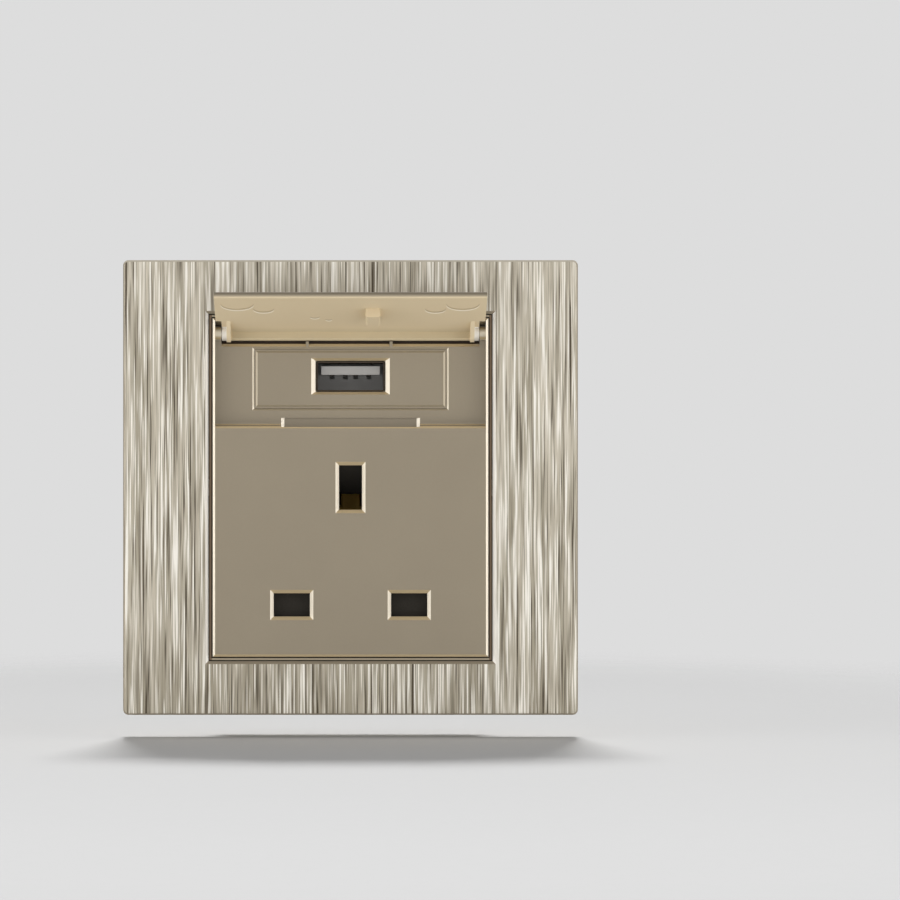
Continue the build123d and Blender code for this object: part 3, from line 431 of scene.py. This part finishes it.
noise_mean = 0.5
hair, fine, long = strokes(0.19, 11.0, 0.4), strokes(0.27, 19.0, 1.7), strokes(0.42, 34.0, 3.1)
cut = add(tree, "ShaderNodeMath", {0: hair, 1: fine}, operation="ADD")
cut = add(tree, "ShaderNodeMath", {0: cut, 1: long}, operation="ADD")
cut = add(tree, "ShaderNodeMath", {0: cut, 1: 3 * noise_mean}, operation="SUBTRACT")
broad_mm, broad_long_mm, broad_seed = 2.6, 36.0, 5.3
stretch = {"Vector": brush_way, "Location": (broad_seed, 0, broad_seed)}
stretch["Scale"] = (1 / (broad_mm * MM), 1.0, 1 / (broad_long_mm * MM))
broad = add(tree, "ShaderNodeMapping", stretch)
broad = add(tree, "ShaderNodeTexNoise", {"Vector": broad, "Scale": 1.0, "Detail": 1.0})
haze_and_painted_light = add(tree, "ShaderNodeMapRange", {"Value": broad, "From Min": 0.35, "From Max": 0.65})

# Painted light and shade: the skin is a little paler towards the top of the plate and browner
# towards its foot.
tone_shift = 0.35
height = add(tree, "ShaderNodeSeparateXYZ", {"Vector": place}, "Z")
for from_mm, to_mm, operation in ((20, 40, "ADD"), (-25, -38, "SUBTRACT")):
    limits = {"Value": height, "From Min": from_mm * MM, "From Max": to_mm * MM, "To Max": tone_shift}
    shift = add(tree, "ShaderNodeMapRange", limits)
    haze_and_painted_light = add(tree, "ShaderNodeMath", {0: haze_and_painted_light, 1: shift}, operation=operation)
ends = {"Factor": haze_and_painted_light, "A": linear("#aea592"), "B": linear("#cfc6b4")}
skin = add(tree, "ShaderNodeMix", ends, data_type="RGBA")
lit = add(tree, "ShaderNodeMapRange", {"Value": cut, "From Min": 0.05, "From Max": 0.3})
ends = {"Factor": lit, "A": skin, "B": linear("#fffaef")}
skin = add(tree, "ShaderNodeMix", ends, data_type="RGBA")
shaded = add(tree, "ShaderNodeMapRange", {"Value": cut, "From Min": -0.05, "From Max": -0.4})
ends = {"Factor": shaded, "A": skin, "B": linear("#53493a")}
skin = add(tree, "ShaderNodeMix", ends, data_type="RGBA")

# Faces that look aside, up or back are plain and darker, which on the rounded outer edge is painted
# shade. The top fillet gets a paler painted light. The bevel round the window gets a near-white painted
# highlight where it is upright and a darker brown painted shade where it is level, and its wall into
# the gap is painted near black as painted shade.
facing = add(tree, "ShaderNodeTexCoord", {}, "Normal")
forward = add(tree, "ShaderNodeSeparateXYZ", {"Vector": facing}, "Y")
upward = add(tree, "ShaderNodeSeparateXYZ", {"Vector": facing}, "Z")
# Painted shade, in part: faces that don't look forward take a plain darker brown.
dulled = add(tree, "ShaderNodeMapRange", {"Value": forward, "From Min": -0.97, "From Max": -0.85})
ends = {"Factor": dulled, "A": skin, "B": linear("#8e8472")}
skin = add(tree, "ShaderNodeMix", ends, data_type="RGBA")
# Painted light: the top fillet is paler.
edge_up = add(tree, "ShaderNodeMapRange", {"Value": upward, "From Min": 0.2, "From Max": 0.5})
edge_front = add(tree, "ShaderNodeMapRange", {"Value": forward, "From Min": -0.1, "From Max": -0.25})
on_top = add(tree, "ShaderNodeMath", {0: edge_up, 1: edge_front}, operation="MULTIPLY")
ends = {"Factor": on_top, "A": skin, "B": linear("#c9c0ae")}
skin = add(tree, "ShaderNodeMix", ends, data_type="RGBA")
from_middle = add(tree, "ShaderNodeVectorMath", {0: place, 1: (1, 0, 1)}, "Vector", operation="MULTIPLY")
from_middle = add(tree, "ShaderNodeVectorMath", {0: from_middle}, "Vector", operation="NORMALIZE")
outwards = {0: facing, 1: from_middle}
outwards = add(tree, "ShaderNodeVectorMath", outwards, "Value", operation="DOT_PRODUCT")
inward = add(tree, "ShaderNodeMapRange", {"Value": outwards, "From Min": -0.2, "From Max": -0.4})
sideways = add(tree, "ShaderNodeSeparateXYZ", {"Vector": facing}, "X")
sideways = add(tree, "ShaderNodeMath", {0: sideways}, operation="ABSOLUTE")
# Painted highlight where the window bevel is upright, painted shade where it is level.
upright = add(tree, "ShaderNodeMapRange", {"Value": sideways, "From Min": 0.3, "From Max": 0.5})
ends = {"Factor": upright, "A": linear("#978c78"), "B": linear("#fffbf2")}
edge = add(tree, "ShaderNodeMix", ends, data_type="RGBA")
# Painted shade: the window's wall going into the gap is near black.
gap_shade = add(tree, "ShaderNodeMapRange", {"Value": forward, "From Min": -0.5, "From Max": -0.3})
ends = {"Factor": gap_shade, "A": edge, "B": linear("#2c2013")}
edge = add(tree, "ShaderNodeMix", ends, data_type="RGBA")
ends = {"Factor": inward, "A": skin, "B": edge}
skin = add(tree, "ShaderNodeMix", ends, data_type="RGBA")
brush_depth = 0.02 * MM
plain = add(tree, "ShaderNodeMath", {0: dulled, 1: inward}, operation="MAXIMUM")
sheen = add(tree, "ShaderNodeMapRange", {"Value": plain, "To Min": 0.6, "To Max": 0.2})
gloss = add(tree, "ShaderNodeMapRange", {"Value": plain, "To Min": 0.38, "To Max": 0.55})
relief = add(tree, "ShaderNodeBump", {"Height": broad, "Distance": brush_depth, "Strength": 0.5})
shader = {"Base Color": skin, "Metallic": sheen, "Roughness": gloss, "Normal": relief}
add(tree, "ShaderNodeOutputMaterial", {"Surface": add(tree, "ShaderNodeBsdfPrincipled", shader)})
dress(brushed, "trim_frame")

# Studio
# The plate stands upright just clear of a small pale floor, in front of a plain grey ground. A lamp
# behind and above throws its shadow forward. A soft box at each side lights its front, and weak ones
# above and below fill in.
floor_gap, floor_reach, floor_fade = 4.4 * MM, 250 * MM, 120 * MM
floor_stretch = 2.0
bpy.ops.mesh.primitive_plane_add(size=2 * floor_stretch * floor_reach, location=(0, 0, 0))
floor = bpy.context.object
floor.name = "floor"
for corner in floor.data.vertices:
    corner.co.x = corner.co.x / floor_stretch
    corner.co.z = plate_low.z - floor_gap
paper, tree, place = start("pale_paper")
fleck_mm = 3.0
tint = drifting(tree, place, fleck_mm, "#d6d6d6", "#d4d4d4")
matt = add(tree, "ShaderNodeBsdfDiffuse", {"Color": tint})
spread = add(tree, "ShaderNodeMapping", {"Vector": place, "Scale": (1.0, 1 / floor_stretch, 0.0)})
reach = add(tree, "ShaderNodeVectorMath", {0: spread}, "Value", operation="LENGTH")
limits = {"Value": reach, "From Min": floor_reach - floor_fade, "From Max": floor_reach}
fade = add(tree, "ShaderNodeMapRange", limits, interpolation_type="SMOOTHSTEP")
clear = add(tree, "ShaderNodeBsdfTransparent", {})
faded = add(tree, "ShaderNodeMixShader", {0: fade, 1: matt, 2: clear})
add(tree, "ShaderNodeOutputMaterial", {"Surface": faded})
floor.data.materials.append(paper)
floor.visible_shadow = False


def lamp(name, kind, place_mm, power, **settings):
    """A lamp at a place in millimetres that points at the middle of the plate."""
    bpy.ops.object.light_add(type=kind, location=Vector(place_mm) * MM)
    light = bpy.context.object
    light.name = name
    light.rotation_euler = (-light.location).to_track_quat("-Z", "Y").to_euler()
    light.data.energy = power
    for setting, value in settings.items():
        setattr(light.data, setting, value)


lamp("back_lamp", "SUN", (0, 640, 760), 2.6, angle=radians(14))
bpy.context.object.visible_glossy = False
lamp("left_box", "AREA", (-950, -450, 40), 6.7, shape="RECTANGLE", size=1.2, size_y=0.9)
lamp("right_box", "AREA", (950, -450, 40), 6.7, shape="RECTANGLE", size=1.2, size_y=0.9)
lamp("top_box", "AREA", (0, -640, 560), 0.8, shape="RECTANGLE", size=0.9, size_y=0.5)
lamp("low_box", "AREA", (0, -650, -420), 1.6, shape="RECTANGLE", size=0.9, size_y=0.5)

backdrop, fill_level = "#dddddd", 0.36
dim_from, dim_to, dim_level = 0.25, 0.7, 0.5
world = bpy.data.worlds.new("studio")
bpy.context.scene.world = world
world.use_nodes = True
tree = world.node_tree
tree.nodes.clear()
seen = add(tree, "ShaderNodeLightPath", {}, "Is Camera Ray")
mirrored = add(tree, "ShaderNodeLightPath", {}, "Is Glossy Ray")
through = add(tree, "ShaderNodeLightPath", {}, "Is Transmission Ray")
way = add(tree, "ShaderNodeTexCoord", {}, "Generated")
up = add(tree, "ShaderNodeSeparateXYZ", {"Vector": way}, "Z")
limits = {"Value": up, "From Min": dim_from, "From Max": dim_to, "To Min": 1.0, "To Max": dim_level}
dimmed = add(tree, "ShaderNodeMapRange", limits)
level = add(tree, "ShaderNodeMath", {0: dimmed, 1: fill_level}, operation="MULTIPLY")
fill = add(tree, "ShaderNodeBackground", {"Color": linear("#ffffff"), "Strength": level})
ground = add(tree, "ShaderNodeBackground", {"Color": linear(backdrop), "Strength": dimmed})
shown = add(tree, "ShaderNodeMath", {0: seen, 1: mirrored}, operation="ADD")
shown = add(tree, "ShaderNodeMath", {0: shown, 1: through}, operation="ADD", use_clamp=True)
mixed = add(tree, "ShaderNodeMixShader", {0: shown, 1: fill, 2: ground})
add(tree, "ShaderNodeOutputWorld", {"Surface": mixed})

# Camera
# A long lens, level and square to the plate. The plate's middle stands left of the picture's and
# a little below it, so the lens is shifted and the view stays square.
image_px, scale_px_per_mm = 900, 5.29
plate_px = (350.5, 487.5)
distance_mm = 900.0
bpy.ops.object.camera_add(location=(0, front - distance_mm * MM, 0), rotation=(radians(90), 0, 0))
camera = bpy.context.object
camera.data.lens = camera.data.sensor_width * scale_px_per_mm * distance_mm / image_px
camera.data.shift_x = (image_px / 2 - plate_px[0]) / image_px
camera.data.shift_y = (plate_px[1] - image_px / 2) / image_px
bpy.context.scene.camera = camera
bpy.context.scene.view_settings.view_transform = "Standard"
